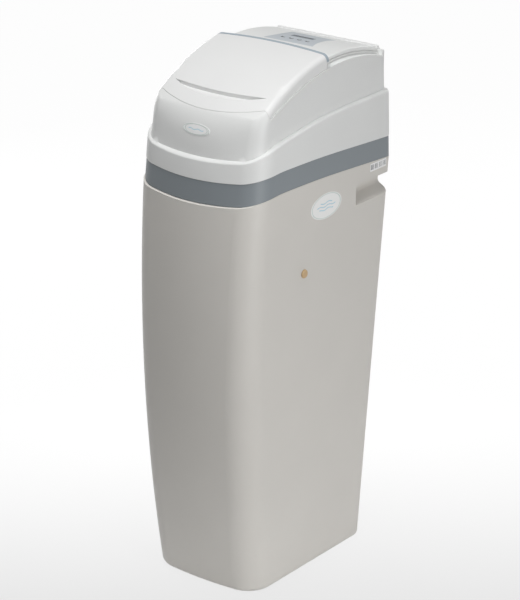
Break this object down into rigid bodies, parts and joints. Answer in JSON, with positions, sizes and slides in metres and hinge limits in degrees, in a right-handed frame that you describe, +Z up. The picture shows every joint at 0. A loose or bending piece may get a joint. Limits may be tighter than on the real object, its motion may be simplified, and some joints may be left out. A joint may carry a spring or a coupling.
{
  "type": "water softener",
  "caption": "Free-standing cabinet water softener: tapering moulded cabinet, grey band, moulded top with a lid that slides back on curved rails over the salt store, control panel behind it.",
  "frame": {"origin": "on the floor, under the middle of the overall box", "axes": "+Z up, front faces -Y, right-hand side faces +X"},
  "size_m": [0.3192, 0.509, 1.1436],
  "materials": {
    "cabinet_plastic": "fine grained, slightly glossy",
    "cover_plastic": "fine grained, slightly glossy",
    "lid_plastic": "smooth satin",
    "band_plastic": "satin slate grey",
    "strip_plastic": "satin slate grey",
    "overlay_film": "matt film",
    "display_glass": "clear window",
    "key_rubber": "matt",
    "board_laminate": "green laminate",
    "black_plastic": "satin",
    "grey_plastic": "satin",
    "white_plastic": "satin",
    "screw_steel": "zinc plated",
    "badge_film": "clear domed film",
    "label_film": "printed film",
    "beige_plastic": "satin beige",
    "tank_laminate": "wound glass laminate",
    "resin_grains": "amber beads",
    "seal_rubber": "smooth",
    "gear_plastic": "satin",
    "rod_steel": "ground",
    "motor_steel": "plated",
    "brass": "machined",
    "tube_plastic": "milky",
    "red_plastic": "satin",
    "blue_plastic": "satin"
  },
  "bodies": {
    "housing": {"cabinet": "cabinet_plastic", "trim_band": "band_plastic", "top_cover": "cover_plastic", "panel_overlay": "overlay_film", "display_window": "display_glass", "key_switches": "black_plastic", "display_module": "grey_plastic", "control_board": "board_laminate", "board_screws": "screw_steel", "front_badge": "badge_film", "side_label": "label_film", "rear_label": "label_film", "overflow_plug": "beige_plastic", "plug_nut": "white_plastic", "cord_gland": "black_plastic", "resin_tank": "tank_laminate", "tank_base": "black_plastic", "resin_bed": "resin_grains", "riser_tube": "grey_plastic", "bottom_distributor": "white_plastic", "top_distributor": "white_plastic", "neck_seal": "seal_rubber", "valve_body": "black_plastic", "seal_stack": "grey_plastic", "bore_cap": "grey_plastic", "drive_bracket": "grey_plastic", "bracket_screws": "screw_steel", "drive_motor": "motor_steel", "motor_screws": "screw_steel", "injector_cover": "grey_plastic", "injector_screws": "screw_steel", "brine_elbow": "white_plastic", "drain_elbow": "grey_plastic", "bypass_body": "black_plastic", "bypass_nuts": "grey_plastic", "port_seals": "seal_rubber", "brine_well": "white_plastic", "safety_valve": "white_plastic", "float_rod": "rod_steel", "pickup_tube": "tube_plastic", "air_check": "white_plastic", "brine_tube": "tube_plastic", "salt_grid": "grey_plastic"},
    "lid": {"salt_lid": "lid_plastic", "lid_edge_strip": "strip_plastic"},
    "key_1": {"key_1": "key_rubber"},
    "key_2": {"key_2": "key_rubber"},
    "key_3": {"key_3": "key_rubber"},
    "key_4": {"key_4": "key_rubber"},
    "gear": {"drive_gear": "gear_plastic"},
    "pinion": {"motor_pinion": "gear_plastic"},
    "piston": {"piston": "brass", "piston_rod": "rod_steel"},
    "turbine": {"meter_turbine": "white_plastic"},
    "inlet_valve": {"inlet_handle": "red_plastic"},
    "outlet_valve": {"outlet_handle": "blue_plastic"},
    "float": {"brine_float": "white_plastic"},
    "well_cap": {"well_cap": "white_plastic"}
  },
  "joints": [
    {"name": "lid_slide", "type": "hinge", "parent": "housing", "child": "lid", "pos_m": [0, 0.102, 0.688], "axis": [-1, 0, 0], "range_deg": [0, 24.2]},
    {"name": "press_key_1", "type": "slide", "parent": "housing", "child": "key_1", "axis": [0, 0, -1], "range_m": [0, 0.0007], "stiffness_N_per_m": 800, "springref_m": -0.0001},
    {"name": "press_key_2", "type": "slide", "parent": "housing", "child": "key_2", "axis": [0, 0, -1], "range_m": [0, 0.0007], "stiffness_N_per_m": 800, "springref_m": -0.0001},
    {"name": "press_key_3", "type": "slide", "parent": "housing", "child": "key_3", "axis": [0, 0, -1], "range_m": [0, 0.0007], "stiffness_N_per_m": 800, "springref_m": -0.0001},
    {"name": "press_key_4", "type": "slide", "parent": "housing", "child": "key_4", "axis": [0, 0, -1], "range_m": [0, 0.0007], "stiffness_N_per_m": 800, "springref_m": -0.0001},
    {"name": "gear_turn", "type": "hinge", "parent": "housing", "child": "gear", "pos_m": [-0.084, 0.045, 0.985], "axis": [1, 0, 0], "range_deg": [0, 1440]},
    {"name": "pinion_turn", "type": "hinge", "parent": "housing", "child": "pinion", "pos_m": [-0.084, 0, 0.985], "axis": [1, 0, 0], "range_deg": [-7200, 0]},
    {"name": "piston_slide", "type": "slide", "parent": "housing", "child": "piston", "axis": [1, 0, 0], "range_m": [0, 0.025]},
    {"name": "turbine_spin", "type": "hinge", "parent": "housing", "child": "turbine", "pos_m": [0.038, 0.086, 0.96], "axis": [0, 1, 0], "continuous": true},
    {"name": "inlet_turn", "type": "hinge", "parent": "housing", "child": "inlet_valve", "pos_m": [-0.038, 0.172, 0.96], "axis": [0, 0, 1], "range_deg": [0, 90]},
    {"name": "outlet_turn", "type": "hinge", "parent": "housing", "child": "outlet_valve", "pos_m": [0.038, 0.172, 0.96], "axis": [0, 0, 1], "range_deg": [-90, 0]},
    {"name": "float_rise", "type": "slide", "parent": "housing", "child": "float", "axis": [0, 0, 1], "range_m": [0, 0.25]},
    {"name": "well_cap_lift", "type": "slide", "parent": "housing", "child": "well_cap", "axis": [0, 0, 1], "range_m": [0, 0.06]}
  ],
  "couplings": [
    {"joint": "pinion_turn", "follows": "gear_turn", "ratio": -5},
    {"joint": "piston_slide", "follows": "gear_turn", "m_per_rad": 0.000994}
  ]
}
